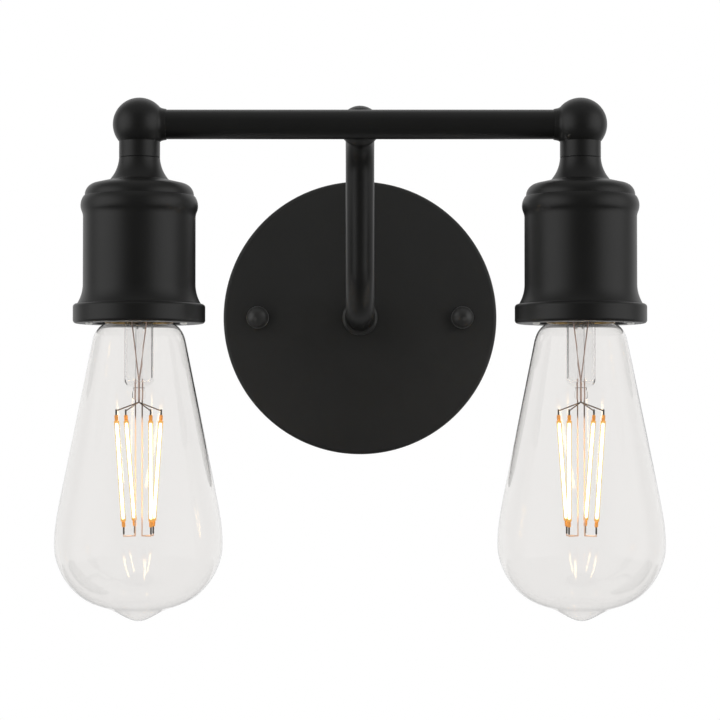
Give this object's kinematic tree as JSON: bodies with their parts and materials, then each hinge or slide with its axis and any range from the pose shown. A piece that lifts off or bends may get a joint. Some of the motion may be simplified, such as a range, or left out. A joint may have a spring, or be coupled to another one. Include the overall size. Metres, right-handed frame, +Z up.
{
  "type": "vanity light",
  "caption": "Wall vanity light: round canopy, bent tube arm and crossbar carrying socket cups that hold clear pear-shaped filament bulbs pointing down.",
  "frame": {"origin": "centre of the canopy on the wall plane, on the back of the mounting strap", "axes": "+X along the crossbar, +Y into the wall, +Z up; the light stands out towards -Y"},
  "size_m": [0.2364, 0.1575, 0.2032],
  "materials": {
    "black_powder_coat": "satin",
    "zinc_plated_steel": "satin",
    "green_plated_steel": "satin",
    "bare_copper": "satin",
    "connector_plastic": "matte",
    "black_phenolic": "matte",
    "shell_brass": "satin",
    "lead_insulation": "satin",
    "cap_brass": "satin",
    "solder": "satin",
    "insulator_glass": "gloss",
    "circuit_board": "satin",
    "clear_glass": "clear gloss",
    "stem_glass": "clear gloss",
    "nickel_wire": "satin",
    "filament_coating": "matte, glowing"
  },
  "bodies": {
    "fixture": {"arm_collar": "black_powder_coat", "arm_hub": "black_powder_coat", "arm_lock_nut": "zinc_plated_steel", "arm_lock_washer": "zinc_plated_steel", "arm_nipple": "zinc_plated_steel", "arm_tube": "black_powder_coat", "canopy": "black_powder_coat", "canopy_ball_nuts": "black_powder_coat", "crossbar": "black_powder_coat", "ground_lead": "bare_copper", "ground_screw": "green_plated_steel", "left_ball_elbow": "black_powder_coat", "left_centre_contact": "shell_brass", "left_cup_lock_nut": "zinc_plated_steel", "left_cup_lock_washer": "zinc_plated_steel", "left_elbow_nipple": "zinc_plated_steel", "left_holder_body": "black_phenolic", "left_holder_cap": "black_phenolic", "left_holder_screws": "zinc_plated_steel", "left_lamp_leads": "lead_insulation", "left_rim_ring": "black_powder_coat", "left_rim_screws": "zinc_plated_steel", "left_screw_shell": "shell_brass", "left_socket_cup": "black_powder_coat", "mounting_strap": "zinc_plated_steel", "right_ball_elbow": "black_powder_coat", "right_centre_contact": "shell_brass", "right_cup_lock_nut": "zinc_plated_steel", "right_cup_lock_washer": "zinc_plated_steel", "right_elbow_nipple": "zinc_plated_steel", "right_holder_body": "black_phenolic", "right_holder_cap": "black_phenolic", "right_holder_screws": "zinc_plated_steel", "right_lamp_leads": "lead_insulation", "right_rim_ring": "black_powder_coat", "right_rim_screws": "zinc_plated_steel", "right_screw_shell": "shell_brass", "right_socket_cup": "black_powder_coat", "strap_studs": "zinc_plated_steel", "stud_lock_nuts": "zinc_plated_steel", "wire_connectors": "connector_plastic"},
    "left_bulb_tip": {"left_bulb_tip": "solder"},
    "left_bulb": {"left_bulb_cap": "cap_brass", "left_bulb_glass": "clear_glass", "left_bulb_insulator": "insulator_glass", "left_driver_board": "circuit_board", "left_filaments": "filament_coating", "left_glass_stem": "stem_glass", "left_support_wires": "nickel_wire"},
    "right_bulb_tip": {"right_bulb_tip": "solder"},
    "right_bulb": {"right_bulb_cap": "cap_brass", "right_bulb_glass": "clear_glass", "right_bulb_insulator": "insulator_glass", "right_driver_board": "circuit_board", "right_filaments": "filament_coating", "right_glass_stem": "stem_glass", "right_support_wires": "nickel_wire"}
  },
  "joints": [
    {"name": "left_bulb_travel", "type": "slide", "parent": "fixture", "child": "left_bulb_tip", "axis": [0, 0, -1], "range_m": [0, 0.0182]},
    {"name": "left_bulb_turn", "type": "hinge", "parent": "left_bulb_tip", "child": "left_bulb", "pos_m": [-0.08575, -0.125, 0], "axis": [0, 0, -1], "range_deg": [0, 1800]},
    {"name": "right_bulb_travel", "type": "slide", "parent": "fixture", "child": "right_bulb_tip", "axis": [0, 0, -1], "range_m": [0, 0.0182]},
    {"name": "right_bulb_turn", "type": "hinge", "parent": "right_bulb_tip", "child": "right_bulb", "pos_m": [0.08575, -0.125, 0], "axis": [0, 0, -1], "range_deg": [0, 1800]}
  ],
  "couplings": [
    {"joint": "left_bulb_travel", "follows": "left_bulb_turn", "m_per_rad": 0.00057757},
    {"joint": "right_bulb_travel", "follows": "right_bulb_turn", "m_per_rad": 0.00057757}
  ]
}
